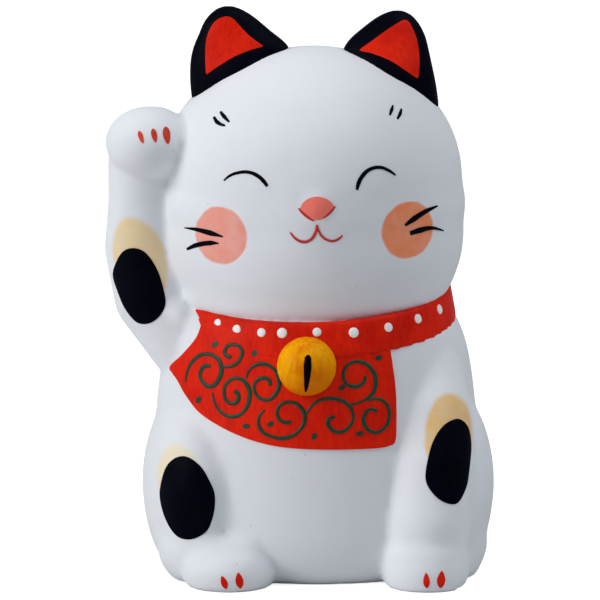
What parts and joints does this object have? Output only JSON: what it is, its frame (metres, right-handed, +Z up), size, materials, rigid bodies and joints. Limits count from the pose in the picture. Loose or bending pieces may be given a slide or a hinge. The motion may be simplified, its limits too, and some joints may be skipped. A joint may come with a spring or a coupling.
{
  "type": "beckoning cat figurine",
  "caption": "Seated cat money box in painted matte earthenware, one paw raised to its head, with collar, bib, bell, coin slot in the back and a soft stopper in the base.",
  "frame": {"origin": "middle of the base, on the plane the figurine stands on", "axes": "+Z up; the cat looks along -Y; its right side, with the raised arm, is on -X"},
  "size_m": [0.0822, 0.0719, 0.1187],
  "materials": {
    "white_clay": "matte white paint on unglazed earthenware",
    "black_paint": "satin black paint on unglazed earthenware",
    "red_paint": "matte red paint on unglazed earthenware",
    "yellow_paint": "matte yellow paint on unglazed earthenware",
    "soft_stopper": "translucent white soft plastic"
  },
  "bodies": {
    "figure": {"body_shell": "white_clay", "head_shell": "white_clay", "raised_arm": "white_clay", "right_ear": "black_paint", "left_ear": "black_paint", "tail": "black_paint", "collar_band": "red_paint", "bib": "red_paint", "bell": "yellow_paint"},
    "stopper": {"base_stopper": "soft_stopper"}
  },
  "joints": [
    {"name": "stopper_pull", "type": "slide", "parent": "figure", "child": "stopper", "axis": [0, 0, -1], "range_m": [0, 0.018]}
  ]
}
